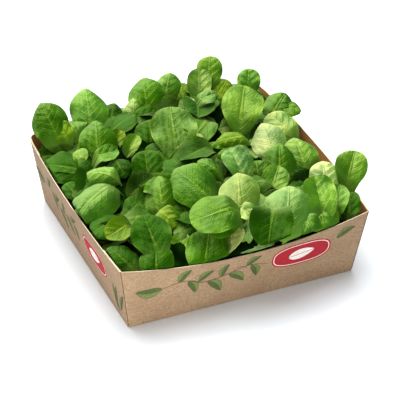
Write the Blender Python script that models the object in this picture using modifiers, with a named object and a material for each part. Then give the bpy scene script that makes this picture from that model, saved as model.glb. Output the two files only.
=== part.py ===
# Open card tray folded from one blank, heaped with lamb's lettuce leaves.
# Lengths are in millimetres until a mesh is made. The tray's front faces -Y and the base rests on Z = 0.

import math
import random

import bmesh
import bpy
import numpy as np

MM = 0.001

# Tray
TOP = 180.0
HEIGHT = 52.0
INSET = 7.5
CARD = 0.6
DIP = 8.7
BOW_ENDS = 3.0
BOW_SIDES = 3.0
FOLD_FRONT = 1.2
FOLD_BACK = 6.0
FOOT_FOLD = 0.8
FLAP = 28.0

# Heap
WALL_GAP = 0.35
LEAF_GAP = 0.9
CORE_GAP = 1.4
FLOOR_GAP = 0.4
LEAF_THICK = 0.9
LEAF_STATIONS = (0.16, 0.45, 0.62, 0.84, 0.98)
LEAF_SIDES = (-1, 0, 1)
CORE_CELLS = 12
BLADE_AT = 0.7
BLADE_SHARE = 0.9
STALK_FOOT = 0.16
ROOT_DEPTH = 5.0
SIGHT = (0.58, 1.36)
SIGHT_PLANE = 62.0
TOWARDS_VIEWER = 247.0
TILT_SHARE = 0.62
LEAN_LEFT = 0.5
LEAN_FRONT = 0.9

# Leaves that show, as (x, y, height, width, heading, tilt, lean, bend, cup, tone).
# x and y are where the blade's middle shows on a plane 62 mm up, seen from the photo's side. A leaf at
# another height is slid along that line of sight. The tip points along heading. The face leans by tilt
# towards the viewer, or that many degrees round from there by lean. Bend curls the tip down, cup lifts
# the edges.
LEAVES = [
    # back left corner and the back edge
    (-73, 87, 73, 31, 88, 66, 0, 10, -0.3, "mid"),
    (-70, 70, 66, 16, 90, 60, 0, 10, 0.25, "olive"),
    (-41, 94, 73, 33, 74, 55, 0, 30, -0.35, "light"),
    (-29, 79, 66, 19, 60, 50, 0, 20, -0.45, "mid"),
    (-13, 78, 69, 20, 74, 62, 13, 15, -0.5, "pale"),
    (2, 93, 75, 30, 72, 55, -7, 25, -0.3, "mid"),
    (21, 97, 77, 21, 60, 62, 0, 20, -0.35, "grey"),
    (43, 92, 75, 20, 68, 72, 0, 5, 0.35, "light"),
    (56, 104, 81, 21, 66, 68, 0, 15, 0.1, "light"),
    (55, 78, 70, 18, 44, 50, 0, 15, -0.3, "olive"),
    (77, 81, 69, 19, 66, 75, 0, 20, -0.1, "light"),
    (23, 67, 70, 13, 44, 50, 0, 10, 0.2, "pale"),
    (40, 70, 76, 15, 10, 25, 0, 20, 0.1, "grey"),
    # left half
    (-50, 54, 71, 32, 70, 50, -7, 25, -0.35, "mid"),
    (-70, 36, 60, 13, 66, 60, -47, 15, 0.1, "light"),
    (-9, 65, 66, 19, 2, 35, 0, 20, 0.1, "mid"),
    (-38, 47, 65, 13, 56, 60, 0, 15, 0.35, "olive"),
    (-31, 36, 67, 14, 46, 55, 0, 15, 0.4, "light"),
    (-52, 30, 66, 17, 358, 22, 0, 25, 0.15, "mid"),
    (-50, 12, 62, 19, 272, 35, 0, 20, -0.2, "dark"),
    (-87, 28, 54, 31, 146, 30, 0, 20, -0.2, "dark"),
    (-65, 10, 64, 22, 142, 35, -17, 25, -0.3, "light"),
    (-82, -18, 64, 37, 200, 40, -30, 30, -0.5, "light"),
    (3, 43, 76, 36, 74, 45, 0, 20, -0.15, "grey"),
    (-15, 42, 66, 26, 72, 50, 0, 20, -0.1, "dark"),
    (-32, 7, 63, 24, 74, 48, 0, 20, 0.2, "dark"),
    (-35, -25, 70, 31, 72, 42, -12, 20, -0.5, "mid"),
    (-12, -25, 73, 37, 110, 38, 0, 20, -0.25, "light"),
    (-29, -45, 62, 25, 100, 45, 0, 20, 0.1, "dark"),
    (-13, -65, 72, 35, 182, 32, 0, 15, -0.15, "grey"),
    (-12, -76, 64, 25, 198, 50, 0, 20, 0.1, "mid"),
    (-43, -57, 61, 19, 292, 45, 0, 20, -0.25, "olive"),
    (-60, -69, 63, 30, 84, 50, 0, 15, -0.1, "dark"),
    (-69, -100, 52, 26, 68, 48, 0, 15, -0.1, "mid"),
    (-79, -59, 59, 20, 196, 40, 0, 20, 0.3, "olive"),
    (-85, -50, 55, 24, 190, 22, 0, 20, -0.2, "dark"),
    (-89, -87, 53, 26, 112, 38, 13, 25, -0.35, "mid"),
    (-91, -1, 51, 16, 100, 30, 0, 20, 0.1, "mid"),
    (-59, -36, 54, 17, 44, 30, 0, 20, 0.1, "dark"),
    # along the front
    (-34, -102, 51, 32, 62, 52, 0, 15, -0.1, "mid"),
    (-47, -88, 51, 15, 60, 60, 0, 20, 0.3, "dark"),
    (-13, -94, 53, 19, 42, 45, 0, 20, 0.3, "light"),
    (-1, -108, 47, 24, 350, 25, 0, 15, 0.1, "light"),
    (0, -90, 56, 13, 60, 65, 0, 10, 0.3, "pale"),
    (13, -46, 74, 32, 70, 45, 0, 25, -0.25, "pale"),
    (7, -73, 66, 15, 300, 40, 0, 15, 0.4, "pale"),
    (36, -75, 65, 37, 64, 42, 0, 20, -0.25, "frost"),
    (15, -94, 60, 34, 240, 50, 0, 20, 0.15, "dark"),
    (40, -101, 56, 19, 270, 45, 0, 20, -0.2, "grey"),
    (52, -96, 54, 26, 258, 45, 0, 20, -0.1, "light"),
    # right half
    (55, -21, 64, 28, 68, 50, 0, 20, -0.3, "mid"),
    (72, -17, 63, 28, 84, 40, 0, 25, -0.35, "light"),
    (74, -52, 62, 24, 70, 55, -7, 15, -0.25, "white"),
    (94, -50, 70, 25, 56, 60, 0, 15, 0.05, "light"),
    (75, -91, 53, 19, 44, 68, -47, 15, 0.1, "dark"),
    (61, -70, 64, 26, 78, 46, 0, 20, 0.3, "light"),
    (71, -79, 59, 18, 58, 55, 0, 15, 0.3, "light"),
    (42, -42, 61, 21, 54, 45, 0, 20, 0.1, "mid"),
    (26, -13, 69, 24, 88, 40, 0, 20, 0.2, "grey"),
    (6, -10, 73, 20, 120, 35, 0, 15, -0.4, "mid"),
    (17, 4, 59, 18, 350, 40, 0, 20, 0.2, "mid"),
    (33, 15, 65, 25, 170, 40, 0, 15, -0.45, "olive"),
    (59, 52, 77, 33, 62, 50, 0, 15, -0.1, "light"),
    (84, 44, 67, 24, 42, 40, 0, 25, -0.25, "mid"),
    (88, 36, 65, 19, 326, 20, 0, 30, -0.3, "mid"),
    (58, 7, 66, 29, 80, 45, -17, 15, -0.3, "white"),
    (74, 20, 63, 25, 108, 35, 0, 15, -0.2, "pale"),
    (10, 22, 63, 14, 44, 40, 0, 15, 0.2, "light"),
    (39, 41, 54, 24, 52, 45, 0, 20, 0.1, "dark"),
    (35, -29, 60, 17, 74, 50, 0, 20, 0.1, "mid"),
]


def clear_scene():
    """Empties the scene, so that only the part is in it."""
    for obj in list(bpy.data.objects):
        bpy.data.objects.remove(obj)


def material(name, colour, roughness):
    """A Principled material of one colour."""
    mat = bpy.data.materials.new(name)
    mat.use_nodes = True
    shader = mat.node_tree.nodes["Principled BSDF"]
    shader.inputs["Base Color"].default_value = (*colour, 1.0)
    shader.inputs["Roughness"].default_value = roughness
    return mat


def finish_mesh(work, name, collection):
    """Turns a closed bmesh, in millimetres, into an object of flat triangles facing outwards."""
    bmesh.ops.scale(work, vec=(MM, MM, MM), verts=work.verts)
    bmesh.ops.recalc_face_normals(work, faces=work.faces)
    bmesh.ops.triangulate(work, faces=work.faces)
    mesh = bpy.data.meshes.new(name)
    work.to_mesh(mesh)
    work.free()
    obj = bpy.data.objects.new(name, mesh)
    collection.objects.link(obj)
    return obj


def loft(loops, closed):
    """A skin through loops of equally many points, joined back to the first loop or capped."""
    work = bmesh.new()
    rows = [[work.verts.new(p) for p in loop] for loop in loops]
    pairs = list(zip(rows, rows[1:] + rows[:1]))
    for low, high in pairs if closed else pairs[:-1]:
        for k in range(len(low)):
            work.faces.new((low[k - 1], low[k], high[k], high[k - 1]))
    if not closed:
        work.faces.new(rows[0][::-1])
        work.faces.new(rows[-1])
    return work


def spread(n):
    """n + 1 even steps from -1 to 1."""
    return [2 * k / n - 1 for k in range(n + 1)]


def ring(inner, top):
    """Plan outline of the tray's wall with its heights, anticlockwise from the front left.

    The side walls lie outside the flaps of the front and back walls, so each ends in a cut edge one
    card thick, where the flap's fold begins. The flaps double the side walls inside, near the corners.
    """
    half = TOP / 2 - (0 if top else INSET)
    bow_ends = BOW_ENDS if top else 0
    bow_sides = BOW_SIDES if top else 0
    skin = CARD if inner else 0
    points = []
    for side in (-1, 1):
        # front wall, or the back wall the other way round
        fold = FOLD_FRONT if side < 0 else FOLD_BACK * (1 if top else 0.5)
        reach = half - CARD - fold
        for k in spread(12):
            rise = 1 - k * k
            x = -side * k * reach
            y = side * (half - skin + bow_ends * rise)
            points.append((x, y, HEIGHT - DIP * rise if top else 0))
        # fold into the side wall at x = -side * half, then the side wall, then the other fold
        for part, turn in (("leave", side), ("enter", -side)):
            r = FOLD_FRONT if turn < 0 else FOLD_BACK * (1 if top else 0.5)
            cx = -side * (half - CARD - r)
            cy = turn * (half - r)
            arc = []
            for a in (0.25, 0.5, 0.75, 1.0):
                angle = a * math.pi / 2
                arc.append((cx - side * (r - skin) * math.sin(angle), cy + turn * (r - skin) * math.cos(angle)))
            end = -side * (half - 2 * CARD) if inner else -side * half
            arc.append((end, cy - turn * 0.4 if inner else cy))
            if part == "enter":
                arc.reverse()
            points += [(x, y, HEIGHT if top else 0) for x, y in arc]
            if part == "leave":
                length = half - FLAP
                stops = [-length - 0.3, -length] + [k * (length - 8) for k in spread(5)] + [length, length + 0.3]
                for n, y in enumerate(stops):
                    thick = 2 if n in (0, len(stops) - 1) else 1
                    x = half + bow_sides * (1 - (y / half) ** 2) - (thick * CARD if inner else 0)
                    points.append((-side * x, -side * y, HEIGHT if top else 0))
    return points


def make_tray(collection):
    """The folded card tray as one solid, a loft from the straight foot to the bowed, dipping rim."""
    foot = ring(False, False)
    rim = ring(False, True)
    share = FOOT_FOLD / HEIGHT
    shrink = 1 - FOOT_FOLD / (TOP / 2 - INSET)
    loops = [
        [(x * shrink, y * shrink, 0) for x, y, _ in foot],
        [tuple(a + (b - a) * share for a, b in zip(p, q)) for p, q in zip(foot, rim)],
        rim,
        ring(True, True),
        [(x, y, CARD) for x, y, _ in ring(True, False)],
    ]
    return finish_mesh(loft(loops, False), "tray", collection)


def rim_height(x):
    """Height of the front and back rims at this x. The side rims are level."""
    return HEIGHT - DIP * (1 - min(abs(x) / (TOP / 2), 1) ** 2)


def wall_reach(x, y, z):
    """How far out the inside of the side walls and of the end walls is at this height."""
    t = min(max(z, 0) / HEIGHT, 1)
    side = TOP / 2 - INSET + (INSET + BOW_SIDES * (1 - min(abs(y) / 90, 1) ** 2)) * t - 2 * CARD
    t = min(max(z, 0) / rim_height(x), 1)
    end = TOP / 2 - INSET + (INSET + BOW_ENDS * (1 - min(abs(x) / 90, 1) ** 2)) * t - CARD
    return side, end


def keep_in_tray(p, gap, stalk=False):
    """Moves a point that would be in or under the tray's wall, in or up, whichever is shorter.

    A stalk's point moves in, and up to the rim's height it stays inside the walls. By the left and
    front walls every point is moved in, and above the rim it may lean out a little.
    """
    x, y, z = p
    side, end = wall_reach(x, y, z)
    side -= gap
    end -= gap
    x = max(x, -side - LEAN_LEFT * max(z - HEIGHT - gap, 0))
    y = max(y, -end - LEAN_FRONT * max(z - rim_height(x) - gap, 0))
    over_side = abs(x) - side
    over_end = abs(y) - end
    low_side = HEIGHT + gap - z
    low_end = rim_height(x) + gap - z
    if over_side > 0 and low_side > 0 and x > 0:
        if low_side < over_side and not stalk:
            z += low_side
        else:
            x = math.copysign(side, x)
    if over_end > 0 and low_end > 0 and y > 0:
        if low_end < over_end and not stalk:
            z = max(z, rim_height(x) + gap)
        else:
            y = math.copysign(end, y)
    corner = FOLD_BACK + 1
    dx = abs(x) - (side - corner)
    dy = y - (end - corner)
    if z < HEIGHT + gap and dx > 0 and dy > 0 and math.hypot(dx, dy) > corner:
        k = corner / math.hypot(dx, dy)
        x = math.copysign(side - corner + dx * k, x)
        y = end - corner + dy * k
    return np.array([x, y, max(z, CARD + FLOOR_GAP + 0.5)])


def core_height(x, y):
    """Top of the packed leaves under the ones that show, lower by the back left and right walls."""
    u, v = x / 88, y / 88
    h = 44 + 16 * (1 - u * u) * (1 - v**4) + 8 * math.exp(-(((y - 62) / 30) ** 2)) * (1 - u * u)
    h += 2.0 * math.sin(x / 11 + 1.3) * math.cos(y / 13) + 1.2 * math.sin((x + 2 * y) / 17)
    h -= 20 * math.exp(-((x + 86) ** 2 + (y - 76) ** 2) / 22**2)
    h -= 12 * math.exp(-((x - 90) ** 2 / 12**2 + (y + 8) ** 2 / 50**2))
    h -= 10 * math.exp(-((x - 86) ** 2 + (y + 86) ** 2) / 16**2)
    return h


def core_point(u, v, level):
    """Where a point of the core goes: level 0 is its top, then down its side, then its flat foot."""
    cut_u = 1 - 0.05 * v**4
    cut_v = 1 - 0.05 * u**4
    z = (core_height(u * cut_u * 88, v * cut_v * 88), 16.0, CARD + FLOOR_GAP)[level]
    side, end = wall_reach(u * 88, v * 88, z)
    return u * cut_u * (side - CORE_GAP), v * cut_v * (end - CORE_GAP), z


def make_core(collection):
    """The lumpy block of leaves inside the tray: a grid whose border is drawn down to the floor."""
    work = bmesh.new()
    bmesh.ops.create_grid(work, x_segments=CORE_CELLS, y_segments=CORE_CELLS, size=1.0)
    border = [e for e in work.edges if e.is_boundary]
    for _ in range(2):
        drawn = bmesh.ops.extrude_edge_only(work, edges=border)["geom"]
        bmesh.ops.translate(work, vec=(0, 0, -1), verts=[g for g in drawn if isinstance(g, bmesh.types.BMVert)])
        border = [g for g in drawn if isinstance(g, bmesh.types.BMEdge) and g.is_boundary]
    bmesh.ops.holes_fill(work, edges=border)
    for vert in work.verts:
        vert.co = core_point(vert.co.x, vert.co.y, round(-vert.co.z))
    return finish_mesh(work, "salad_leaves", collection)


def unit(v):
    return v / np.linalg.norm(v)


def plan_direction(degrees):
    a = math.radians(degrees)
    return np.array([math.cos(a), math.sin(a), 0.0])


def blade_width(s, cup):
    """Half width along the leaf, from the stalk's foot at 0 to the tip at 1, as a share of the widest.

    A blade that is cupped is rounder at its foot, a flat one is more like a spoon.
    """
    if s < 0.68:
        t = min(max((s - 0.24) / 0.44, 0), 1)
        spoon = 0.12 + 0.88 * t * t * (3 - 2 * t)
        t = min((0.68 - s) / 0.38, 1)
        oval = 0.12 + 0.88 * math.sqrt(1 - t * t)
        return spoon + (oval - spoon) * min(0.35 + 2.2 * abs(cup), 1)
    t = (s - 0.68) / 0.32
    return math.sqrt(max(1 - t**2.3, 0))


def leaf_frame(leaf):
    """Middle of the blade, direction to the tip and direction of the upper face."""
    x, y, z, _, heading, tilt, lean = leaf[:7]
    rise = z - SIGHT_PLANE
    middle = np.array([x - SIGHT[0] * rise, y - SIGHT[1] * rise, z])
    a = math.radians(tilt * TILT_SHARE)
    face = plan_direction(TOWARDS_VIEWER + lean) * math.sin(a) + np.array([0, 0, math.cos(a)])
    along = plan_direction(heading)
    along = unit(along - face * np.dot(along, face))
    return middle, along, face


def leaf_cup(leaf):
    """How far the blade's edges turn up, or down where it is negative."""
    return leaf[8] * 1.15 + 0.16 * math.sin(leaf[0] * 0.7 + leaf[1] * 1.3)


def leaf_spine(leaf, stations):
    """Points along the midrib with their directions. The stalk turns down into the heap."""
    middle, along, face = leaf_frame(leaf)
    length = leaf[3] * BLADE_SHARE * 1.8
    bend = math.radians(leaf[7] * 1.3 + 18 + 16 * math.sin(leaf[0] * 1.1 + leaf[1] * 0.6))
    cup = leaf_cup(leaf)
    steep = math.asin(max(-1.0, min(1.0, along[2])))
    drop = max(0.0, math.radians(58) - max(steep, 0))

    def turn(s):
        past = max(s - BLADE_AT, 0) / (1 - BLADE_AT)
        return bend * (s - BLADE_AT) - 0.7 * cup * past - drop * min(max((0.5 - s) / 0.4, 0), 1)

    def place(s):
        at = middle.copy()
        pieces = 12
        for k in range(pieces):
            m = BLADE_AT + (s - BLADE_AT) * (k + 0.5) / pieces
            angle = turn(m)
            at += (along * math.cos(angle) - face * math.sin(angle)) * (s - BLADE_AT) / pieces * length
        return at

    foot = keep_in_tray(place(STALK_FOOT), LEAF_GAP, True)
    sink = max(0.0, foot[2] - core_height(foot[0], foot[1]) + ROOT_DEPTH)
    found = []
    for s in stations:
        at = place(s)
        at[2] -= sink * min(max((0.5 - s) / (0.5 - STALK_FOOT), 0), 1.2) ** 1.4
        angle = turn(s)
        found.append((at, face * math.cos(angle) + along * math.sin(angle)))
    return found, np.cross(face, along)


def leaf_point(leaf, spine, across, s, v):
    """Point of the leaf's middle surface at share s of its length and v across, -1 to 1."""
    share = blade_width(s, leaf[8])
    half = leaf[3] * BLADE_SHARE / 2 * share
    at, face = spine
    roll = math.radians(28 * math.sin(leaf[0] * 0.5 - leaf[1] * 0.9)) * (s - BLADE_AT)
    sideways = across * math.cos(roll) + face * math.sin(roll)
    face = face * math.cos(roll) - across * math.sin(roll)
    cup = leaf_cup(leaf)
    lift = cup * half * abs(v) ** 1.7
    wave = 0.05 * leaf[3] * math.sin(s * 9 + leaf[0] + (1.7 if v > 0 else 0)) * v * v * share
    return at + sideways * (v * half * (1 - 0.3 * cup * cup)) + face * (lift + wave)


def leaf_rows(leaf, stations, sides):
    """Points of the leaf's middle surface, a row across at each station, held clear of the tray."""
    spine, across = leaf_spine(leaf, stations)
    rows = []
    for s, bone in zip(stations, spine):
        points = [leaf_point(leaf, bone, across, s, v) for v in sides]
        rows.append([keep_in_tray(p, LEAF_GAP, s < 0.6) for p in points])
    return np.array(rows)


def make_leaf(number, leaf, collection):
    """One leaf as a thin wavy solid with few sides: a grid bent to shape, then given its thickness."""
    rows = leaf_rows(leaf, LEAF_STATIONS, LEAF_SIDES)
    work = bmesh.new()
    long_cells = len(LEAF_STATIONS) - 1
    wide_cells = len(LEAF_SIDES) - 1
    bmesh.ops.create_grid(work, x_segments=long_cells, y_segments=wide_cells, size=1.0)
    for vert in work.verts:
        row = round((vert.co.x + 1) / 2 * long_cells)
        vert.co = rows[row, round((vert.co.y + 1) / 2 * wide_cells)]
    obj = finish_mesh(work, "leaf_%02d" % number, collection)
    skin = obj.modifiers.new("thickness", "SOLIDIFY")
    skin.thickness = LEAF_THICK * MM
    skin.offset = 0.0
    return obj


def far_side_leaves():
    """Leaves on the sides that the photo doesn't show, seeded, leaning outwards over the rims."""
    rng = random.Random(7)
    found = []
    for x in range(-60, 80, 20):
        found.append((x + rng.uniform(-5, 5), 80 + rng.uniform(-3, 2), 58 + rng.uniform(0, 6), 90))
    for y in range(-30, 80, 22):
        found.append((72 + rng.uniform(-2, 2), y + rng.uniform(-6, 6), 49 + rng.uniform(0, 4), 0))
    leaves = []
    for x, y, z, out in found:
        rise = z - SIGHT_PLANE
        size = rng.uniform(22, 31)
        heading = (out if out else 90) + rng.uniform(-40, 40)
        lean = out - TOWARDS_VIEWER + rng.uniform(-30, 30)
        leaves.append((x + SIGHT[0] * rise, y + SIGHT[1] * rise, z, size, heading, rng.uniform(20, 50),
                       lean, 30, rng.uniform(-0.2, 0.2), "mid"))
    return leaves


def make_keep_out(collection):
    """A block round the heap that holds the wall and what is level with it, to trim the leaves by."""
    inside = []
    for p, q in zip(ring(True, False), ring(True, True)):
        x = p[0] - math.copysign(WALL_GAP, p[0])
        y = p[1] - math.copysign(WALL_GAP, p[1])
        u = q[0] - math.copysign(WALL_GAP, q[0])
        v = q[1] - math.copysign(WALL_GAP, q[1])
        inside.append(((x, y, -5.0), (x, y, 0.0), (u, v, q[2] + WALL_GAP)))
    loops = [list(loop) for loop in zip(*inside)]
    loops.append([(1.5 * x, 1.5 * y, z) for x, y, z in loops[2]])
    loops.append([(1.5 * x, 1.5 * y, -5.0) for x, y, z in loops[2]])
    return finish_mesh(loft(loops, True), "keep_out", collection)


def apply_boolean(obj, operation, operand):
    """Adds one Boolean to obj and applies it."""
    mod = obj.modifiers.new("join", "BOOLEAN")
    mod.operation = operation
    mod.solver = "EXACT"
    if isinstance(operand, bpy.types.Collection):
        mod.operand_type = "COLLECTION"
        mod.collection = operand
    else:
        mod.object = operand
    graph = bpy.context.evaluated_depsgraph_get()
    mesh = bpy.data.meshes.new_from_object(obj.evaluated_get(graph))
    obj.modifiers.clear()
    obj.data = mesh


def keep_largest_shell(obj):
    """Drops loose scraps and the walls of sealed hollows, which leaves one solid body."""
    work = bmesh.new()
    work.from_mesh(obj.data)
    left = set(work.verts)
    shells = []
    while left:
        shell = set()
        todo = [left.pop()]
        while todo:
            v = todo.pop()
            shell.add(v)
            for edge in v.link_edges:
                other = edge.other_vert(v)
                if other in left:
                    left.remove(other)
                    todo.append(other)
        shells.append(shell)
    shells.sort(key=len)
    loose = [v for shell in shells[:-1] for v in shell]
    bmesh.ops.delete(work, geom=loose, context="VERTS")
    bmesh.ops.triangulate(work, faces=work.faces)
    work.to_mesh(obj.data)
    work.free()
    print("shells", len(shells), "triangles", len(obj.data.polygons))


def make_salad(collection):
    """The heap: a packed core with the leaves that show joined to it, trimmed clear of the tray."""
    core = make_core(collection)
    group = bpy.data.collections.new("loose_leaves")
    bpy.context.scene.collection.children.link(group)
    leaves = [make_leaf(k, leaf, group) for k, leaf in enumerate(LEAVES + far_side_leaves())]
    apply_boolean(core, "UNION", group)
    for leaf in leaves:
        bpy.data.objects.remove(leaf)
    keep_out = make_keep_out(group)
    apply_boolean(core, "DIFFERENCE", keep_out)
    bpy.data.objects.remove(keep_out)
    bpy.data.collections.remove(group)
    keep_largest_shell(core)
    return core


def main():
    clear_scene()
    punnet = bpy.data.collections.new("salad_tray")
    bpy.context.scene.collection.children.link(punnet)
    tray = make_tray(punnet)
    tray.data.materials.append(material("kraft_card", (0.52, 0.36, 0.22), 0.85))
    salad = make_salad(punnet)
    salad.data.materials.clear()
    salad.data.materials.append(material("leaf_green", (0.12, 0.33, 0.03), 0.45))


main()
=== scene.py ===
import math
import random

import bmesh
import bpy
import numpy as np
from mathutils import Matrix, Vector

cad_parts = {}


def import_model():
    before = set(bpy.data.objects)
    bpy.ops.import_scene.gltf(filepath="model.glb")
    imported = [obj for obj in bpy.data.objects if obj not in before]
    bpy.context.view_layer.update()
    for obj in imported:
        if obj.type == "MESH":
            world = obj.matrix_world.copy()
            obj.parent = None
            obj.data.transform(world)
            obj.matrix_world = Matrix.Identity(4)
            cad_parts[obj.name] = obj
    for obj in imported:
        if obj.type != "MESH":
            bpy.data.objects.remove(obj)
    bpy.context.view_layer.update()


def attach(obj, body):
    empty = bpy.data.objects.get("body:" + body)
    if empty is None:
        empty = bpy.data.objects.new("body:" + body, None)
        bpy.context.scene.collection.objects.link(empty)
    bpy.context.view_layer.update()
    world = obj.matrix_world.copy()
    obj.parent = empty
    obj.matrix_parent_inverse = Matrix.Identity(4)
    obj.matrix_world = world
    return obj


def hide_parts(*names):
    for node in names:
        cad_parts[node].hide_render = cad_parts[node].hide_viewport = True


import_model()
MM = 0.001

# Tray, as in the solid model, in millimetres: TOP is its width at the rim, and each wall's foot lies INSET
# further in. The end walls' rim dips by DIP in the middle, and all four walls bow out there.
TOP = 180.0
HEIGHT = 52.0
INSET = 7.5
CARD = 0.6
DIP = 8.7
BOW_ENDS = 3.0
BOW_SIDES = 3.0
FOLD_FRONT = 1.2
FOLD_BACK = 6.0
FOOT_FOLD = 0.8
FLAP = 28.0

# Points of the walls' outline: an end wall has WALL_CELLS + 1, a fold at a corner FOLD_POINTS, and a side
# wall SIDE_POINTS, as it also has the edges of the flaps behind it
WALL_CELLS = 40
FOLD_POINTS = 9
SIDE_POINTS = WALL_CELLS + 9

# The front right corner's fold is darker brown this far along both walls
DARK_CORNER_REACH = 1.8

# Core of packed leaves: half its width, its gaps to the walls and the base, how much its sides are rounded,
# and the height where they bend
CORE_REACH = 88.0
CORE_GAP = 1.4
FLOOR_GAP = 0.4
CORE_ROUND = 0.05
CORE_CELLS = 48
CORE_BEND = 16.0

# The small leaves on the core start no further from the tray's middle than this, along either side
UNDER_REACH = 84.0

# Places along a leaf, with its stalk's foot at 0 and its tip at 1
STALK_FOOT = 0.16
BLADE_FOOT = 0.24
OVAL_FOOT = 0.3
STALK_TOP = 0.5
BLADE_WIDEST = 0.68
BLADE_AT = 0.7

# Other measures of a leaf. LEAF_GAP keeps it off the walls, and above the rim it may lean out over the left
# and front walls by a share of its height there. ROOT_DEPTH is how deep its stalk goes into the core.
LEAF_THICK = 0.4
LENGTH_TO_WIDTH = 1.8
BLADE_SHARE = 0.9
STALK_WIDTH = 0.12
ROOT_DEPTH = 5.0
LEAF_GAP = 0.9
LEAN_LEFT = 0.5
LEAN_FRONT = 0.9

# Side veins: how far apart, and how they slant and curve towards the tip
VEIN_STEP = 5.6
VEIN_SLANT = 0.55
VEIN_CURVE = 1.25
UV_MM = 100.0

# The photo's line of sight, as the way that it goes in plan for each millimetre up, and the viewer's side
SIGHT = (0.58, 1.36)
SIGHT_PLANE = 62.0
TOWARDS_VIEWER = 247.0
TILT_SHARE = 0.62

# Directions of painted light on a leaf's skin: where it faces the first it gets a painted pale sheen and
# stays lit, and where it faces away from both it is painted in shade
PAINTED_LIGHT_FACING = (-0.38, 0.3, 0.87)
PAINTED_BACKLIGHT_FACING = (0.15, 0.95, 0.28)

# Places where the leaves part and the shaded inside shows: x, y and reach in mm
DEEP_GAPS = [(-51, -4, 11), (-61, -15, 10), (42, 55, 9), (-70, -58, 8), (68, -26, 8), (-44, -66, 8)]

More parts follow.
